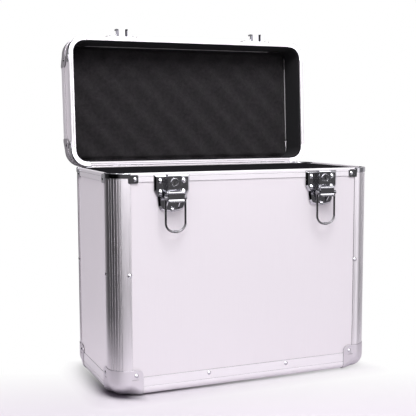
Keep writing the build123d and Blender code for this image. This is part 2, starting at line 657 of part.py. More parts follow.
def bail():
    """Wire bail: pins through the lever, eyes, two legs and a cross bar with a crimp sleeve."""
    bar_z = BAIL_Z - BAIL_REACH
    route = FilletPolyline((-BAIL_LEG, BAIL_Z), (-BAIL_LEG, bar_z), (BAIL_LEG, bar_z),
                           (BAIL_LEG, BAIL_Z), radius=BAIL_BEND)
    path = Plane(origin=(0, -DEPTH / 2 - BAIL_OUT, 0), x_dir=(1, 0, 0), z_dir=(0, -1, 0)) * route
    start = Plane(origin=(-BAIL_LEG, -DEPTH / 2 - BAIL_OUT, BAIL_Z), x_dir=(1, 0, 0), z_dir=(0, 0, -1))
    wire = sweep(start * Circle(BAIL_R), path=path)
    eye = Rot(0, 90, 0) * Cylinder(BAIL_EYE_R, 2 * BAIL_R)
    for sign in (-1, 1):
        wire += Pos(sign * BAIL_LEG, -DEPTH / 2 - BAIL_OUT, BAIL_Z) * eye
    inner_end = LEVER_IN + PIN_FIT
    pins = bar_across(BAIL_R, BAIL_LEG, BAIL_OUT, BAIL_Z)
    pins -= bar_across(2 * BAIL_R, inner_end, BAIL_OUT, BAIL_Z)
    sleeve = Rot(0, 90, 0) * Cylinder(BAIL_SLEEVE[0], BAIL_SLEEVE[1])
    return wire + pins + Pos(0, -DEPTH / 2 - BAIL_OUT, bar_z) * sleeve


def latch_rivets():
    """Heads on a latch plate, about the latch's middle."""
    places = [(sign * across, -down) for across, down in PLATE_RIVETS for sign in (-1, 1)]
    places.append((0, -PLATE_FOOT_RIVET))
    return [FRONT * (Pos(across, up, PLATE_T) * LATCH_HEAD) for across, up in places]


def catch():
    """Plate on the lid with the hook that the bail pulls on, in shut position, rim at z = 0.

    The hook's arm is arched to nest inside the bail's bends, and widens to its foot."""
    tall = CATCH_HIGH - CATCH_LOW
    plate = Pos(0, CATCH_LOW + tall / 2) * RectangleRounded(2 * CATCH_HALF, tall, CATCH_CORNER)
    bend_r = BAIL_BEND - BAIL_SLEEVE[0] - BAIL_CATCH_GAP
    spread = BAIL_LEG - BAIL_BEND
    foot_half = spread + bend_r
    nest = Pos(0, HOOK_TOP - bend_r)
    outer = nest * SlotCenterToCenter(2 * spread, 2 * bend_r)
    inner = nest * SlotCenterToCenter(2 * spread, 2 * (bend_r - HOOK_T))
    above = Pos(0, CATCH_LOW + tall / 2) * Rectangle(2 * CATCH_HALF, tall)
    arm = extrude(FRONT * ((outer - inner) & above), HOOK_OUT)
    flat = DEPTH / 2 + CATCH_T
    plan = polygon((-foot_half, -DEPTH / 2), (foot_half, -DEPTH / 2), (foot_half, -flat),
                   (HOOK_HALF, -flat - HOOK_FLARE), (HOOK_HALF, -DEPTH / 2 - HOOK_OUT),
                   (-HOOK_HALF, -DEPTH / 2 - HOOK_OUT), (-HOOK_HALF, -flat - HOOK_FLARE),
                   (-foot_half, -flat))
    arm &= extrude(plan, HOOK_TOP)
    lip_tall = HOOK_TOP + HOOK_TALL - CATCH_LOW
    lip = Pos(0, CATCH_LOW + lip_tall / 2) * Rectangle(2 * HOOK_HALF, lip_tall)
    lip = fillet(lip.vertices().group_by(Axis.Y)[-1], HOOK_ROUND) - inner
    lip = extrude(face_plane("front", HOOK_LIP - HOOK_OUT) * lip, HOOK_LIP)
    return extrude(FRONT * plate, CATCH_T) + arm + lip


def catch_rivets():
    heads = []
    for across, up in CATCH_RIVETS:
        for sign in (-1, 1):
            heads.append(FRONT * (Pos(sign * across, up, CATCH_T) * LATCH_HEAD))
    return heads


# ---- handle --------------------------------------------------------------------------
TOP_FACE = RIM_Z + RIM_GAP + LID_HEIGHT - SKIN      # outer face of the lid's top panel, shut
HANDLE_Z = RIM_Z + RIM_GAP + LID_HEIGHT + HANDLE_PIVOT


def handle_bracket(sign):
    """Foot plate and lug that carries one end of the handle, lid shut."""
    plate = Pos(sign * HANDLE_X, 0, TOP_FACE + FOOT_PLATE[2] / 2) * Box(*FOOT_PLATE)
    plate = fillet(plate.edges().filter_by(Axis.Z), FOOT_PLATE_CORNER)
    lug_mid = sign * HANDLE_X
    lug = Pos(lug_mid, 0, HANDLE_Z) * (Rot(0, 90, 0) * Cylinder(LUG_R, LUG_T))
    web = box_between((lug_mid - LUG_T / 2, -LUG_R, TOP_FACE), (lug_mid + LUG_T / 2, LUG_R, HANDLE_Z))
    bore = Pos(lug_mid, 0, HANDLE_Z) * (Rot(0, 90, 0) * Cylinder(HANDLE_BAR + HANDLE_PIN_RUN, 3 * LUG_T))
    return plate + lug + web - bore


def handle_bow():
    """Round steel bow: its turned-out ends are the pivots, lying toward the hinge."""
    inner = HANDLE_X - LUG_T / 2 - HANDLE_SIDE_GAP - HANDLE_BAR
    end = HANDLE_X + LUG_T / 2 + HANDLE_END
    route = FilletPolyline((-end, 0), (-inner, 0), (-inner, HANDLE_REACH), (inner, HANDLE_REACH),
                           (inner, 0), (end, 0), radius=HANDLE_BEND)
    path = Plane(origin=(0, 0, HANDLE_Z)) * route
    start = Plane(origin=(-end, 0, HANDLE_Z), x_dir=(0, 1, 0), z_dir=(1, 0, 0))
    return sweep(start * Circle(HANDLE_BAR), path=path)


def handle_grip():
    """Moulded grip on the straight of the bow."""
    block = Box(GRIP_LONG, GRIP_SECTION[0], GRIP_SECTION[1])
    block = fillet(block.edges(), GRIP_ROUND)
    bore = Rot(0, 90, 0) * Cylinder(HANDLE_BAR + BOW_FIT, 2 * GRIP_LONG)
    return Pos(0, HANDLE_REACH, HANDLE_Z) * (block - bore)


def handle_rivets():
    across = FOOT_PLATE[0] / 2 - FOOT_PLATE_RIVET
    along_y = FOOT_PLATE[1] / 2 - FOOT_PLATE_RIVET
    heads = []
    for sign in (-1, 1):
        for dx in (-across, across):
            for dy in (-along_y, along_y):
                heads.append(Pos(sign * HANDLE_X + dx, dy, TOP_FACE + FOOT_PLATE[2]) * HEAD)
    return heads


# ---- the nodes -----------------------------------------------------------------------
def base_nodes():
    """Everything that stays with the base."""
    nodes = {}
    for side in SIDES:
        nodes[f"base_panel_{side}"] = side_panel(side, BASE_HEIGHT)
        nodes[f"base_rim_{side}"] = along(side, rim_section(False), COLUMN_REACH)
        nodes[f"base_edge_{side}"] = along(side, edge_section(BASE_HEIGHT), EDGE_END)
    nodes["base_panel_bottom"] = end_panel(BASE_HEIGHT)
    upright = column(BASE_HEIGHT)
    cap = corner_cap(BASE_HEIGHT)
    bracket = rim_bracket(False)
    for corner in CORNERS:
        nodes[f"base_column_{corner}"] = at_corner(upright, corner)
        nodes[f"base_cap_{corner}"] = at_corner(cap, corner)
    nodes["base_rim_brackets"] = group(at_corner(bracket, corner) for corner in CORNERS)
    nodes["base_lining"] = lining(BASE_HEIGHT, LINING_TOP)
    nodes["floor_pad"] = pad(BASE_HEIGHT, PAD_T)
    nodes["base_rivets"] = group(frame_rivets(BASE_HEIGHT, True) + leaf_rivets(-1))
    nodes["latch_rivets"] = group(Pos(sign * LATCH_X, 0, 0) * head
                                  for sign in (-1, 1) for head in latch_rivets())
    nodes["latch_pivot_pins"] = group(Pos(sign * LATCH_X, 0, 0) * pivot_pin() for sign in (-1, 1))
    for name, sign in (("left", -1), ("right", 1)):
        nodes[f"latch_body_{name}"] = Pos(sign * LATCH_X, 0, 0) * latch_body()
    return {name: base_place(piece) for name, piece in nodes.items()}


def moving_latch_nodes():
    """The pieces of the two latches that move."""
    nodes = {}
    for name, sign in (("left", -1), ("right", 1)):
        place = Pos(sign * LATCH_X, 0, 0)
        nodes[f"latch_lever_{name}"] = base_place(place * lever())
        nodes[f"latch_bail_{name}"] = base_place(place * bail())
        nodes[f"lock_barrel_{name}"] = base_place(place * lock_barrel())
    return nodes


def foot_and_hinge_nodes():
    """Pieces drawn straight in the part's frame."""
    foot_tall = FOOT_DROP + SKIN
    foot = Pos(0, 0, foot_tall / 2) * Cylinder(FOOT_R, foot_tall)
    places = [(x, y) for x in (-FOOT_X, FOOT_X) for y in (-FOOT_Y, FOOT_Y)]
    hinges = [Pos(x, 0, 0) for x in (-HINGE_X, HINGE_X)]
    pin = tube_x(HINGE_PIN_R, -HINGE_W / 2, HINGE_W / 2)
    return {
        "rubber_feet": group(Pos(x, y, 0) * foot for x, y in places),
        "hinge_leaves_base": group(place * hinge_leaf_base() for place in hinges),
        "hinge_leaves_lid": group(place * hinge_leaf_lid() for place in hinges),
        "hinge_pins": group(place * pin for place in hinges),
    }


def lid_nodes():
    """Everything that turns with the lid, drawn in the shell frame."""
    nodes = {}
    for side in SIDES:
        nodes[f"lid_panel_{side}"] = side_panel(side, LID_HEIGHT)
    nodes["lid_panel_top"] = end_panel(LID_HEIGHT)
    nodes["lid_rims"] = group(along(side, rim_section(True), COLUMN_REACH) for side in SIDES)
    nodes["lid_edges"] = group(along(side, edge_section(LID_HEIGHT), EDGE_END) for side in SIDES)
    upright = column(LID_HEIGHT)
    cap = corner_cap(LID_HEIGHT)
    bracket = rim_bracket(True)
    nodes["lid_columns"] = group(at_corner(upright, corner) for corner in CORNERS)
    nodes["lid_caps"] = group(at_corner(cap, corner) for corner in CORNERS)
    nodes["lid_rim_brackets"] = group(at_corner(bracket, corner) for corner in CORNERS)
    nodes["lid_lining"] = lining(LID_HEIGHT, LINING_TOP)
    nodes["lid_foam"] = pad(LID_HEIGHT, FOAM_T)
    nodes = {name: lid_place(piece) for name, piece in nodes.items()}
    for name, sign in (("left", -1), ("right", 1)):
        nodes[f"catch_{name}"] = OPEN_LID * (Pos(sign * LATCH_X, 0, RIM_Z) * catch())
        nodes[f"handle_bracket_{name}"] = OPEN_LID * handle_bracket(sign)
    heads = [lid_place(head) for head in frame_rivets(LID_HEIGHT, False) + leaf_rivets(-1)]
    heads += [OPEN_LID * (Pos(sign * LATCH_X, 0, RIM_Z) * head)
              for sign in (-1, 1) for head in catch_rivets()]
    heads += [OPEN_LID * head for head in handle_rivets()]
    nodes["lid_rivets"] = group(heads)
    nodes["handle_bow"] = OPEN_LID * handle_bow()
    nodes["handle_grip"] = OPEN_LID * handle_grip()
    return nodes


def all_nodes():
    nodes = base_nodes()
    nodes.update(moving_latch_nodes())
    nodes.update(foot_and_hinge_nodes())
    nodes.update(lid_nodes())
    return nodes


os.makedirs("parts", exist_ok=True)
for node_name, node_shape in all_nodes().items():
    export_step(node_shape, f"parts/{node_name}.step")
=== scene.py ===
"""Looks of the record carrying case: materials, lid foam, floor, light and camera.

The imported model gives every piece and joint.  This script gives its nodes their
materials and replaces the plain foam sheet in the lid with an egg-crate one.
Lengths are in metres unless a name ends in MM.
"""
import bmesh
import bpy
import json
import math
from mathutils import Matrix, Vector, noise


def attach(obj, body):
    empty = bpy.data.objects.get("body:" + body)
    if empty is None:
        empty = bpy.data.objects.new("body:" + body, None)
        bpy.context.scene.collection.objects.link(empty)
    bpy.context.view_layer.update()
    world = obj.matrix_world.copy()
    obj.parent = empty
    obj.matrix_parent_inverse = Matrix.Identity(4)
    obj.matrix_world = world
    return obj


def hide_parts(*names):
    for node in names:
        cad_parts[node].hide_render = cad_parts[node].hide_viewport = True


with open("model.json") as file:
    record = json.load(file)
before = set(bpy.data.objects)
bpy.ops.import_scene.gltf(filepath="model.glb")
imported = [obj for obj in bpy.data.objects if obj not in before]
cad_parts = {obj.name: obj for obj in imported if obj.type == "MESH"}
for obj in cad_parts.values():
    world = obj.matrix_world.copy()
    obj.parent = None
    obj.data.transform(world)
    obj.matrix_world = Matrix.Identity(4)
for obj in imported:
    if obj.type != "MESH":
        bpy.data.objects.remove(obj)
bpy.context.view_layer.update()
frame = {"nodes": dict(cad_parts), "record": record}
NODES = frame["nodes"]
JOINTS = {joint["name"]: joint for joint in frame["record"]["behaviour"]["joints"]}
MM = 0.001

# ---- camera --------------------------------------------------------------------------
IMAGE_PX = 416
SENSOR_MM = 36.0
FOCAL_PX = 857.0
CAMERA_AT = Vector((-0.5230, -1.2058, 0.3818))
YAW, PITCH, ROLL = (math.radians(angle) for angle in (22.728, 6.285, -0.091))
CENTRE_PX = (210.04, 215.07)

# ---- the open lid --------------------------------------------------------------------
HINGE = Vector(JOINTS["lid_hinge"]["pos_m"])
LID_TURN = math.radians(JOINTS["lid_hinge"]["range_deg"][1])
SHUT_TO_OPEN = (Matrix.Translation(HINGE) @ Matrix.Rotation(-LID_TURN, 4, "X")
                @ Matrix.Translation(-HINGE))


def make_camera():
    data = bpy.data.cameras.new("camera")
    camera = bpy.data.objects.new("camera", data)
    bpy.context.collection.objects.link(camera)
    data.sensor_width = SENSOR_MM
    data.lens = FOCAL_PX / IMAGE_PX * SENSOR_MM
    data.shift_x = (IMAGE_PX / 2 - CENTRE_PX[0]) / IMAGE_PX
    data.shift_y = (CENTRE_PX[1] - IMAGE_PX / 2) / IMAGE_PX
    data.clip_start = 0.05
    turn = Matrix.Rotation(-YAW, 4, "Z") @ Matrix.Rotation(math.pi / 2 - PITCH, 4, "X")
    camera.matrix_world = Matrix.Translation(CAMERA_AT) @ turn @ Matrix.Rotation(ROLL, 4, "Z")
    bpy.context.scene.camera = camera


# ---- surface detail ------------------------------------------------------------------
# painted shade: base colours darken towards this tone where an ambient occlusion node finds
# joints and rivets close by
JOINT_SHADE_TONE = (0.10, 0.095, 0.105, 1)
JOINT_SHADE_OPEN = (0.40, 0.85)          # share of open sky where the painted shade in a joint is darkest, and gone
JOINT_SHADE_REACH = 1.5 * MM
SOFT_EDGE = 0.4 * MM              # edges of metal look rounded by this radius
RAMP_RANGE = (0.3, 0.7)           # the part of a noise's range that is spread over a ramp
STREAK = 0.02                     # how far a texture is stretched along draw lines

# sockets of a Mix node that mixes colours
MIX_LOW, MIX_HIGH, MIX_COLOUR = 6, 7, 2


# ---- small node-building helpers -----------------------------------------------------
class Graph:
    """Short calls that add and join nodes of one tree."""

    def __init__(self, tree):
        self.tree = tree
        self.tree.nodes.clear()

    def add(self, kind, **values):
        node = self.tree.nodes.new(kind)
        for name, value in values.items():
            if name in node.inputs:
                node.inputs[name].default_value = value
            else:
                setattr(node, name, value)
        return node

    def join(self, source, output, target, entry):
        self.tree.links.new(source.outputs[output], target.inputs[entry])

    def spread(self, source, output, start, end, low=0.0, high=1.0):
        """Map a value from one range to another, clamped."""
        node = self.add("ShaderNodeMapRange")
        limits = {"From Min": start, "From Max": end, "To Min": low, "To Max": high}
        for entry, value in limits.items():
            node.inputs[entry].default_value = value
        self.join(source, output, node, "Value")
        return node

    def maths(self, operation, first, second):
        """Combine two values: a number, a node, or a node with the name of an output."""
        node = self.add("ShaderNodeMath", operation=operation)
        for entry, item in enumerate((first, second)):
            if isinstance(item, (int, float)):
                node.inputs[entry].default_value = item
            elif isinstance(item, tuple):
                self.join(*item, node, entry)
            else:
                self.join(item, 0, node, entry)
        return node


class Shader(Graph):
    """One material and short calls that build its surface."""

    def __init__(self, name):
        self.material = bpy.data.materials.new(name)
        self.material.use_nodes = True
        super().__init__(self.material.node_tree)
        self.bsdf = self.add("ShaderNodeBsdfPrincipled")
        self.out = self.add("ShaderNodeOutputMaterial")
        self.join(self.bsdf, "BSDF", self.out, "Surface")

    def set(self, **values):
        for name, value in values.items():
            self.bsdf.inputs[name.replace("_", " ")].default_value = value

    def place(self, scale=(1, 1, 1), turn=(0, 0, 0)):
        """Object coordinates, stretched and turned."""
        where = self.add("ShaderNodeTexCoord")
        mapping = self.add("ShaderNodeMapping")
        mapping.inputs["Scale"].default_value = scale
        mapping.inputs["Rotation"].default_value = turn
        self.join(where, "Object", mapping, "Vector")
        return mapping

    def noise(self, scale, detail=2.0, rough=0.5, stretch=(1, 1, 1), turn=(0, 0, 0)):
        texture = self.add("ShaderNodeTexNoise")
        texture.inputs["Scale"].default_value = scale
        texture.inputs["Detail"].default_value = detail
        texture.inputs["Roughness"].default_value = rough
        self.join(self.place(stretch, turn), "Vector", texture, "Vector")
        return texture

    def ramp(self, source, low, high, output="Fac"):
        """Spread a factor between two colours."""
        ramp = self.add("ShaderNodeValToRGB")
        stops = ramp.color_ramp.elements
        for stop, position, tone in zip(stops, RAMP_RANGE, (low, high)):
            stop.position = position
            stop.color = (*tone, 1)
        self.join(source, output, ramp, "Fac")
        return ramp

    def colour(self, source, low, high, joint_shade=0.0):
        """Tone between two colours, darkened by painted shade within this reach of joints and
        rivets.
        """
        tone = self.ramp(source, low, high)
        if not joint_shade:
            self.join(tone, "Color", self.bsdf, "Base Color")
            return
        # painted shade: ambient occlusion darkens the base colour in joints and around rivets
        crevice_shade = self.add("ShaderNodeAmbientOcclusion", samples=8, Distance=joint_shade)
        mix = self.add("ShaderNodeMix", data_type="RGBA")
        mix.inputs[MIX_LOW].default_value = JOINT_SHADE_TONE
        self.join(self.spread(crevice_shade, "AO", *JOINT_SHADE_OPEN), "Result", mix, 0)
        self.join(tone, "Color", mix, MIX_HIGH)
        self.join(mix, MIX_COLOUR, self.bsdf, "Base Color")

    def roughness(self, source, low, high):
        spread = self.spread(source, "Fac", *RAMP_RANGE, low, high)
        self.join(spread, "Result", self.bsdf, "Roughness")

    def bump(self, source, strength, distance, output="Fac", edge=0.0):
        """Relief from a texture, over edges that look rounded by this radius."""
        bump = self.add("ShaderNodeBump")
        bump.inputs["Strength"].default_value = strength
        bump.inputs["Distance"].default_value = distance
        self.join(source, output, bump, "Height")
        self.join(bump, "Normal", self.bsdf, "Normal")
        if edge:
            rounded = self.add("ShaderNodeBevel", samples=4)
            rounded.inputs["Radius"].default_value = edge
            self.join(rounded, "Normal", bump, "Normal")


def streaks(along):
    """Stretch that draws fine lines along one axis."""
    return tuple(STREAK if axis == along else 1.0 for axis in "xyz")


def laminate(name, turn=(0, 0, 0)):
    """Satin silver laminate with a fine upright grain that hardly shows."""
    shader = Shader(name)
    lines = shader.noise(700, 3, 0.6, streaks("z"), turn)
    shader.colour(lines, (0.800, 0.760, 0.800), (0.812, 0.773, 0.812), joint_shade=JOINT_SHADE_REACH)
    shader.set(Metallic=0.1, Specular_IOR_Level=0.4)
    shader.roughness(lines, 0.40, 0.46)
    shader.bump(lines, 0.02, 0.05 * MM)
    return shader.material


def extrusion(name, along, turn=(0, 0, 0), metallic=0.55, rough=0.30):
    """Satin anodised aluminium with faint draw lines along the extrusion."""
    shader = Shader(name)
    lines = shader.noise(1400, 2, 0.5, streaks(along), turn)
    shader.colour(lines, (0.84, 0.81, 0.845), (0.87, 0.84, 0.875), joint_shade=JOINT_SHADE_REACH)
    shader.set(Metallic=metallic)
    shader.roughness(lines, rough - 0.03, rough + 0.03)
    shader.bump(lines, 0.02, 0.01 * MM, edge=SOFT_EDGE)
    return shader.material


def satin_steel(name):
    """Pressed corner metal: satin, with a very faint cloudy tone."""
    shader = Shader(name)
    clouds = shader.noise(25, 2, 0.5)
    shader.colour(clouds, (0.68, 0.65, 0.69), (0.71, 0.68, 0.72), joint_shade=JOINT_SHADE_REACH)
    shader.set(Metallic=0.85)
    shader.roughness(clouds, 0.33, 0.37)
    shader.bump(shader.noise(900, 1), 0.02, 0.05 * MM, edge=SOFT_EDGE)
    return shader.material


def chrome(name, low=0.04, high=0.08, bright=0.60):
    """Bright plating with light handling marks and slightly rounded edges."""
    shader = Shader(name)
    marks = shader.noise(120, 3, 0.6)
    shader.colour(marks, (0.95 * bright, 0.95 * bright, bright), (bright, bright, 1.05 * bright))
    shader.set(Metallic=1.0)
    shader.roughness(marks, low, high)
    shader.bump(shader.noise(160, 1), 0.04, 0.15 * MM, edge=0.45 * MM)
    return shader.material


def lock_face(name):
    """Key barrel: plated, but dulled and nearly black inside its ring."""
    shader = Shader(name)
    wear = shader.noise(400, 2)
    shader.colour(wear, (0.03, 0.03, 0.03), (0.09, 0.09, 0.095))
    shader.set(Metallic=0.9)
    shader.roughness(wear, 0.3, 0.45)
    shader.bump(wear, 0.1, 0.1 * MM)
    return shader.material


def felt(name):
    """Dark lining cloth: short fibres and a soft sheen."""
    shader = Shader(name)
    fibres = shader.noise(2500, 3, 0.7)
    shader.colour(fibres, (0.009, 0.009, 0.011), (0.017, 0.016, 0.020))
    shader.set(Roughness=0.95, Specular_IOR_Level=0.1, Sheen_Weight=0.06, Sheen_Roughness=0.6)
    shader.bump(fibres, 0.5, 0.4 * MM)
    return shader.material


def open_foam(name):
    """Charcoal foam with an open cell surface."""
    shader = Shader(name)
    cells = shader.add("ShaderNodeTexVoronoi")
    cells.inputs["Scale"].default_value = 900
    shader.join(shader.place(), "Vector", cells, "Vector")
    shader.colour(shader.noise(180, 5, 0.75), (0.010, 0.0085, 0.0105), (0.029, 0.025, 0.029))
    shader.set(Roughness=1.0, Specular_IOR_Level=0.1, Sheen_Weight=0.12, Sheen_Roughness=0.7)
    shader.bump(cells, 0.7, 0.6 * MM, "Distance")
    return shader.material


def black_rubber(name):
    shader = Shader(name)
    grain = shader.noise(800, 2)
    shader.colour(grain, (0.012, 0.012, 0.012), (0.022, 0.022, 0.022))
    shader.set(Roughness=0.8, Specular_IOR_Level=0.3)
    shader.bump(grain, 0.2, 0.2 * MM)
    return shader.material


def grained_plastic(name):
    """Black moulded grip with a fine leather-like grain."""
    shader = Shader(name)
    grain = shader.add("ShaderNodeTexVoronoi")
    grain.inputs["Scale"].default_value = 700
    shader.join(shader.place(), "Vector", grain, "Vector")
    tone = shader.noise(90, 3)
    shader.colour(tone, (0.014, 0.014, 0.015), (0.024, 0.024, 0.026))
    shader.roughness(tone, 0.42, 0.55)
    shader.bump(grain, 0.35, 0.3 * MM, "Distance")
    return shader.material


def dress(material, *names):
    """Give whole nodes one material."""
    for name in names:
        node = NODES[name]
        node.data.materials.clear()
        node.data.materials.append(material)


def names_with(*starts):
    return [name for name in NODES if name.startswith(starts)]


def dress_nodes():
    lid_turn = (LID_TURN, 0, 0)
    dress(laminate("laminate_base"), *names_with("base_panel"))
    dress(laminate("laminate_lid", lid_turn), *names_with("lid_panel"))
    dress(extrusion("aluminium_upright", "z", metallic=1.0, rough=0.33),
          *names_with("base_column"))
    dress(extrusion("aluminium_lid_upright", "z", lid_turn, 1.0, 0.34), "lid_columns")
    dress(extrusion("aluminium_x", "x", metallic=0.3, rough=0.36), "base_rim_front",
          "base_rim_back", "base_edge_front", "base_edge_back", "lid_rims", "lid_edges")
    dress(extrusion("aluminium_y", "y", metallic=0.3, rough=0.36), "base_rim_left",
          "base_rim_right", "base_edge_left", "base_edge_right")
    dress(satin_steel("corner_metal"), *names_with("base_cap", "lid_caps"))
    dress(chrome("bright_plating"), "base_rim_brackets", "lid_rim_brackets", "base_rivets",
          "latch_rivets", "lid_rivets", "latch_pivot_pins",
          *names_with("latch_body", "latch_lever"))
    # painted dark reflection: the bails and, less so, the catches get darker copies of the same
    # plating
    dress(chrome("wire_plating_painted_dark", bright=0.20), *names_with("latch_bail"))
    dress(chrome("catch_plating_painted_dark", bright=0.45), *names_with("catch"))
    dress(lock_face("lock_face"), *names_with("lock_barrel"))
    dress(chrome("hinge_plating", 0.15, 0.25), "hinge_leaves_base", "hinge_leaves_lid",
          "hinge_pins", "handle_bow", *names_with("handle_bracket"))
    dress(felt("lining_felt"), "base_lining", "lid_lining", "floor_pad")
    dress(black_rubber("foot_rubber"), "rubber_feet")
    dress(grained_plastic("grip_plastic"), "handle_grip")


# ---- foam ----------------------------------------------------------------------------
FOAM_STEP = 2.0 * MM
FOAM_PITCH = (48.5 * MM, 51.8 * MM)
FOAM_SHORT = 5.0 * MM            # the hills stop this much short of the walls
FOAM_SKIN = 0.6 * MM             # thickness between the hills and the walls
FOAM_THIN = 2.5 * MM
FOAM_THICK = 8.5 * MM
FOAM_PEAK = 1.3                  # above 1 the hills are narrower than the dips
FOAM_WANDER_MM = 0.6             # unevenness of the sheet
FOAM_WANDER_SCALE = 35


def lid_foam():
    """Egg-crate foam sheet across the lid, with soft rounded hills."""
    seat_low, seat_high = shut_box("lid_foam")
    width = seat_high.x - seat_low.x
    depth = seat_high.y - seat_low.y
    columns = round(width / FOAM_STEP)
    rows = round(depth / FOAM_STEP)
    mesh = bmesh.new()
    grid = []
    for row in range(rows + 1):
        line = []
        for column in range(columns + 1):
            x = seat_low.x + width * column / columns
            y = seat_low.y + depth * row / rows
            hills = (math.cos(2 * math.pi * (x / FOAM_PITCH[0]))
                     * math.cos(2 * math.pi * (y / FOAM_PITCH[1])))
            rise = (FOAM_THICK - FOAM_THIN) * (0.5 + 0.5 * hills) ** FOAM_PEAK
            wander = noise.noise(Vector((x, y, 0)) * FOAM_WANDER_SCALE) * FOAM_WANDER_MM * MM
            thick = FOAM_THIN + rise + wander
            inside = min(x - seat_low.x, seat_high.x - x, y - seat_low.y, seat_high.y - y)
            if inside < FOAM_SHORT:
                thick = FOAM_SKIN
            line.append(mesh.verts.new((x, y, seat_high.z - thick)))
        grid.append(line)
    for row in range(rows):
        for column in range(columns):
            mesh.faces.new((grid[row][column], grid[row + 1][column],
                            grid[row + 1][column + 1], grid[row][column + 1]))
    border = [edge for edge in mesh.edges if edge.is_boundary]
    made = bmesh.ops.extrude_edge_only(mesh, edges=border)["geom"]
    back = [item for item in made if isinstance(item, bmesh.types.BMVert)]
    for vert in back:
        vert.co.z = seat_high.z
    bmesh.ops.holes_fill(mesh, edges=[edge for edge in mesh.edges if edge.is_boundary], sides=0)
    bmesh.ops.recalc_face_normals(mesh, faces=mesh.faces)
    bmesh.ops.transform(mesh, matrix=SHUT_TO_OPEN, verts=mesh.verts)
    data = bpy.data.meshes.new("egg_crate_foam")
    mesh.to_mesh(data)
    mesh.free()
    for face in data.polygons:
        face.use_smooth = True
    foam = bpy.data.objects.new("egg_crate_foam", data)
    bpy.context.collection.objects.link(foam)
    data.materials.append(open_foam("charcoal_foam"))
    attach(foam, "lid")
    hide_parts("lid_foam")


def shut_box(node):
    """Box of a lid node with the lid shut, in metres."""
    back = SHUT_TO_OPEN.inverted()
    points = [back @ vert.co for vert in NODES[node].data.vertices]
    low = Vector(min(point[axis] for point in points) for axis in range(3))
    high = Vector(max(point[axis] for point in points) for axis in range(3))
    return low, high


# ---- floor, world and light ----------------------------------------------------------
FLOOR_R = 0.8
FLOOR_TONE = (0.63, 0.600, 0.640, 1)
FLOOR_FADE = (0.45, 0.75)         # plain white to the eye beyond this distance
FLOOR_MIRROR = (0.24, 0.55)       # not reflected beyond this distance
FLOOR_AWAY = (0.386, 0.922, 0)    # away from the camera, where the paper washes out to white
AWAY_FADE = (-0.13, 0.06)
CLEAR_GAP = 0.04                  # the paper also washes out over this gap from the case
CLEAR_SHARE = 2.5
SHADE_REACH = 0.06                # painted contact shadow in the paper's colour along the left side, away from the key light
SHADE_OPEN = (0.36, 0.92)         # share of open sky where the shadow is deepest, and gone
SHADE_SIDE = (-0.205, -0.135)
SHADE_TONE = (0.095, 0.080, 0.105)
HORIZON = (-0.005, 0.055)           # the room is dark below this height of view, bright above
DARK_LOW = (math.radians(215), 0.1, 0.35)            # the side where it is dark below
ROOM = 0.60
ROOM_LOW = 0.20                   # what soft light comes from below the horizon
ROOM_WASH = 0.40                  # more of it from the left and behind
LEFT_WASH = (math.radians(300), 0.0, 0.7)
SOFTBOX = 3.5
SOFTBOX_SIDE = (math.radians(176), 0.64, 0.88)       # bearing, and how wide it fades out
SOFTBOX_TOP = (0.70, 0.88)
BELOW_HORIZON = 0.03
LEFT_DARK = (math.radians(280), 0.33, 0.74)
RIGHT_DARK = (math.radians(106), 0.92, 0.98)
BACK_DARK = (math.radians(4), 0.93, 0.98)
LEFT_DEPTH = 0.96                 # share of the light that the cards take away
RIGHT_DEPTH = 0.6
BACK_DEPTH = 0.95
LEVEL_FADE = (-0.1, 0.1)          # from the light below the horizon to that above
STUDIO_TINT = (0.99, 0.965, 1.0, 1)


def box_gap(shader, where):
    """Distance on the floor from the case's footprint."""
    points = [vert.co for name in names_with("base_edge") for vert in NODES[name].data.vertices]
    low = [min(point[axis] for point in points) for axis in (0, 1)]
    high = [max(point[axis] for point in points) for axis in (0, 1)]
    middle = [(low[axis] + high[axis]) / 2 for axis in (0, 1)]
    half = [(high[axis] - low[axis]) / 2 for axis in (0, 1)]
    shift = shader.add("ShaderNodeVectorMath", operation="SUBTRACT")
    shift.inputs[1].default_value = (*middle, 0)
    shader.join(where, "Object", shift, 0)
    across = shader.add("ShaderNodeVectorMath", operation="ABSOLUTE")
    shader.join(shift, "Vector", across, 0)
    past = shader.add("ShaderNodeVectorMath", operation="SUBTRACT")
    past.inputs[1].default_value = (*half, 0)
    shader.join(across, "Vector", past, 0)
    outside = shader.add("ShaderNodeVectorMath", operation="MAXIMUM")
    shader.join(past, "Vector", outside, 0)
    gap = shader.add("ShaderNodeVectorMath", operation="LENGTH")
    shader.join(outside, "Vector", gap, 0)
    return gap


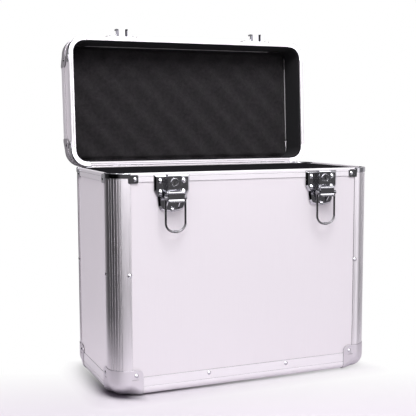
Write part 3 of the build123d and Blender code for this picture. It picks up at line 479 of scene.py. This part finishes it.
def make_floor():
    mesh = bmesh.new()
    bmesh.ops.create_circle(mesh, cap_ends=True, segments=96, radius=FLOOR_R)
    data = bpy.data.meshes.new("studio_floor")
    mesh.to_mesh(data)
    mesh.free()
    floor = bpy.data.objects.new("studio_floor", data)
    bpy.context.collection.objects.link(floor)
    shader = Shader("studio_paper")
    shader.set(Roughness=0.8, Specular_IOR_Level=0.2)
    where = shader.add("ShaderNodeTexCoord")
    # painted shadow: the paper's base colour darkens to SHADE_TONE where ambient occlusion finds
    # the case close by, on the left side only
    sky = shader.add("ShaderNodeAmbientOcclusion", samples=16, Distance=SHADE_REACH)
    across = shader.add("ShaderNodeSeparateXYZ")
    shader.join(where, "Object", across, 0)
    shade = shader.maths("MAXIMUM", shader.spread(sky, "AO", *SHADE_OPEN),
                         shader.spread(across, "X", *SHADE_SIDE))
    paper = shader.ramp(shade, SHADE_TONE, FLOOR_TONE[:3], "Value")
    shader.join(paper, "Color", shader.bsdf, "Base Color")
    distance = shader.add("ShaderNodeVectorMath", operation="LENGTH")
    shader.join(where, "Object", distance, 0)
    away = shader.add("ShaderNodeVectorMath", operation="DOT_PRODUCT")
    away.inputs[1].default_value = FLOOR_AWAY
    shader.join(where, "Object", away, 0)
    clear = shader.maths("MINIMUM", (box_gap(shader, where), "Value"), CLEAR_GAP)
    clear = shader.maths("MULTIPLY", clear, CLEAR_SHARE)
    wash = shader.spread(shader.maths("ADD", (away, "Value"), clear), "Value", *AWAY_FADE)
    far = shader.spread(distance, "Value", *FLOOR_FADE)
    fade = shader.maths("MAXIMUM", wash, far)
    path = shader.add("ShaderNodeLightPath")
    white = shader.add("ShaderNodeEmission", Color=(1, 1, 1, 1), Strength=1.0)
    unseen = shader.add("ShaderNodeBsdfTransparent")
    mirror = shader.spread(distance, "Value", *FLOOR_MIRROR)
    whiten = shader.add("ShaderNodeMixShader")
    shader.join(shader.maths("MULTIPLY", (path, "Is Camera Ray"), fade), "Value", whiten, 0)
    shader.join(shader.bsdf, "BSDF", whiten, 1)
    shader.join(white, "Emission", whiten, 2)
    hide = shader.add("ShaderNodeMixShader")
    shader.join(shader.maths("MULTIPLY", (path, "Is Glossy Ray"), mirror), "Value", hide, 0)
    shader.join(whiten, "Shader", hide, 1)
    shader.join(unseen, "BSDF", hide, 2)
    shader.join(hide, "Shader", shader.out, "Surface")
    data.materials.append(shader.material)


def make_world():
    """White to the camera.  Soft light comes from an even room; reflections show a front
    softbox above the horizon, dark below it, and dark cards left, right and behind."""
    world = bpy.data.worlds.new("studio")
    bpy.context.scene.world = world
    world.use_nodes = True
    graph = Graph(world.node_tree)
    where = graph.add("ShaderNodeTexCoord")
    split = graph.add("ShaderNodeSeparateXYZ")
    graph.join(where, "Generated", split, 0)
    flat = graph.add("ShaderNodeVectorMath", operation="MULTIPLY")
    flat.inputs[1].default_value = (1, 1, 0)
    graph.join(where, "Generated", flat, 0)
    bearing = graph.add("ShaderNodeVectorMath", operation="NORMALIZE")
    graph.join(flat, "Vector", bearing, 0)

    def toward(angle, start, end):
        """0 to 1 as a direction comes round to this bearing, clockwise from +Y."""
        facing = graph.add("ShaderNodeVectorMath", operation="DOT_PRODUCT")
        facing.inputs[1].default_value = (math.sin(angle), math.cos(angle), 0)
        graph.join(bearing, "Vector", facing, 0)
        return graph.spread(facing, "Value", start, end)

    def card(place, depth):
        """What a dark card takes from a direction."""
        facing = graph.maths("MULTIPLY", toward(*place), below_top)
        return graph.maths("MULTIPLY", facing, depth)

    above = graph.maths("MAXIMUM", graph.spread(split, "Z", *HORIZON, BELOW_HORIZON, 1.0),
                        graph.maths("SUBTRACT", 1.0, toward(*DARK_LOW)))
    below_top = graph.spread(split, "Z", *SOFTBOX_TOP, 1.0, 0.0)
    room = 1.0
    for place, depth in ((LEFT_DARK, LEFT_DEPTH), (RIGHT_DARK, RIGHT_DEPTH),
                         (BACK_DARK, BACK_DEPTH)):
        room = graph.maths("MULTIPLY", room, graph.maths("SUBTRACT", 1.0, card(place, depth)))
    softbox = graph.maths("MULTIPLY", toward(*SOFTBOX_SIDE), below_top)
    total = graph.maths("ADD", graph.maths("MULTIPLY", room, ROOM),
                        graph.maths("MULTIPLY", softbox, SOFTBOX - ROOM))
    mirrored = graph.maths("MULTIPLY", total, above)
    wash = graph.maths("MULTIPLY", toward(*LEFT_WASH), ROOM_WASH)
    even = graph.maths("ADD", graph.spread(split, "Z", *LEVEL_FADE, ROOM_LOW, ROOM), wash)
    path = graph.add("ShaderNodeLightPath")
    strength = graph.add("ShaderNodeMix")
    graph.join(path, "Is Glossy Ray", strength, 0)
    graph.join(even, "Value", strength, 2)
    graph.join(mirrored, "Value", strength, 3)
    studio = graph.add("ShaderNodeBackground", Color=STUDIO_TINT)
    graph.join(strength, 0, studio, "Strength")
    white = graph.add("ShaderNodeBackground", Color=(1, 1, 1, 1), Strength=1.0)
    mix = graph.add("ShaderNodeMixShader")
    graph.join(path, "Is Camera Ray", mix, 0)
    graph.join(studio, 0, mix, 1)
    graph.join(white, 0, mix, 2)
    out = graph.add("ShaderNodeOutputWorld")
    graph.join(mix, 0, out, 0)


def area_light(name, place, target, size, power):
    data = bpy.data.lights.new(name, "AREA")
    data.shape = "RECTANGLE"
    data.size, data.size_y = size
    data.energy = power
    light = bpy.data.objects.new(name, data)
    bpy.context.collection.objects.link(light)
    light.location = place
    light.rotation_euler = (Vector(target) - Vector(place)).to_track_quat("-Z", "Y").to_euler()


def make_lights():
    """A large soft lamp overhead and a smaller one in front, high up."""
    area_light("top_box", place=(0.2, 0.4, 2.2), target=(0, 0, 0.2), size=(1.8, 1.4), power=17)
    area_light("key_box", place=(-0.15, -0.95, 1.35), target=(-0.08, -0.12, 0.34),
               size=(0.7, 0.7), power=14)


make_camera()
dress_nodes()
lid_foam()
make_floor()
make_world()
make_lights()
bpy.context.scene.view_settings.view_transform = "Standard"
